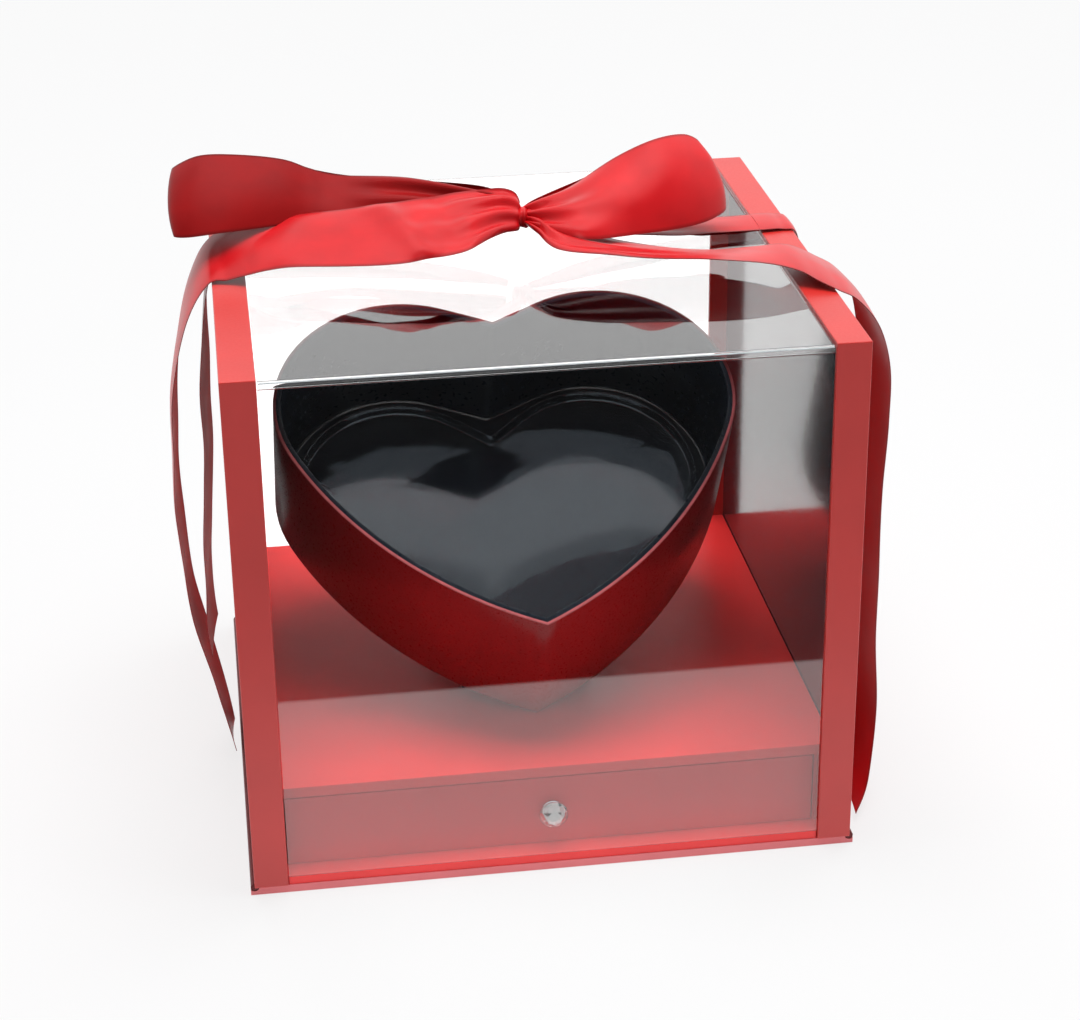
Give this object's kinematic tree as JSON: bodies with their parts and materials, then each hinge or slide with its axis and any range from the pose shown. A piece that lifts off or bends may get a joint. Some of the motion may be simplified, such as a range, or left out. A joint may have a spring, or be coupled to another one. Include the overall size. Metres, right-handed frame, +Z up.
{
  "type": "gift box",
  "caption": "Square red gift box with a clear window, a drawer with a crystal knob, a tilted open heart tray and a tied satin ribbon bow.",
  "frame": {"origin": "middle of the base sheet's underside", "axes": "+X to the right seen from the front, +Y to the back, +Z up"},
  "size_m": [0.2615, 0.213, 0.2368],
  "materials": {
    "red_paper_board": "satin red paper on board",
    "dark_red_board": "satin dark red paper on board",
    "cap_board": "satin red paper on board",
    "cap_paper": "satin red paper",
    "black_lining": "glossy black",
    "clear_sheet": "clear glossy",
    "clear_tray": "clear glossy",
    "crystal": "faceted clear",
    "metal": "polished",
    "cloth": "woven bookbinding cloth",
    "satin": "satin ribbon"
  },
  "bodies": {
    "base": {"base_sheet": "red_paper_board", "base_board": "red_paper_board", "left_cheek": "dark_red_board", "right_cheek": "dark_red_board", "case_back_wall": "dark_red_board", "platform_board": "red_paper_board", "heart_wall": "dark_red_board", "heart_lining": "black_lining", "heart_floor": "dark_red_board", "stand_panel": "red_paper_board", "stand_gussets": "red_paper_board", "window_top": "clear_sheet", "window_rear": "clear_sheet", "bow_knot": "satin", "bow_left_loop": "satin", "bow_right_loop": "satin", "left_strap_top": "satin", "left_tail_top": "satin", "right_strap_top": "satin", "right_tail_top": "satin"},
    "left_cap": {"left_side_board": "cap_board", "left_rim": "cap_paper", "left_lining": "black_lining", "left_hinge_roll": "cloth", "left_strap_side": "satin", "left_tail_side": "satin"},
    "right_cap": {"right_side_board": "cap_board", "right_rim": "cap_paper", "right_lining": "black_lining", "right_hinge_roll": "cloth", "right_strap_side": "satin", "right_tail_side": "satin"},
    "front_window": {"window_front": "clear_sheet"},
    "drawer": {"drawer_front": "dark_red_board", "drawer_bottom": "dark_red_board", "drawer_left_wall": "dark_red_board", "drawer_right_wall": "dark_red_board", "drawer_back_wall": "dark_red_board", "drawer_lining": "black_lining", "knob_crystal": "crystal", "knob_collar": "metal", "knob_screw": "metal", "knob_nut": "metal"},
    "liner": {"liner": "clear_tray"}
  },
  "joints": [
    {"name": "left_cap_hinge", "type": "hinge", "parent": "base", "child": "left_cap", "pos_m": [-0.11, 0, 0.0032], "axis": [0, -1, 0], "range_deg": [0, 90]},
    {"name": "right_cap_hinge", "type": "hinge", "parent": "base", "child": "right_cap", "pos_m": [0.11, 0, 0.0032], "axis": [0, 1, 0], "range_deg": [0, 90]},
    {"name": "drawer_slide", "type": "slide", "parent": "base", "child": "drawer", "axis": [0, -1, 0], "range_m": [0, 0.12]},
    {"name": "window_hinge", "type": "hinge", "parent": "base", "child": "front_window", "pos_m": [0, -0.10485, 0.19585], "axis": [-1, 0, 0], "range_deg": [0, 100]},
    {"name": "liner_lift", "type": "slide", "parent": "base", "child": "liner", "axis": [0.0127, -0.4846, 0.8746], "range_m": [0, 0.08]}
  ],
  "couplings": [
    {"joint": "window_hinge", "follows": "drawer_slide", "rad_per_m": 14.54}
  ]
}
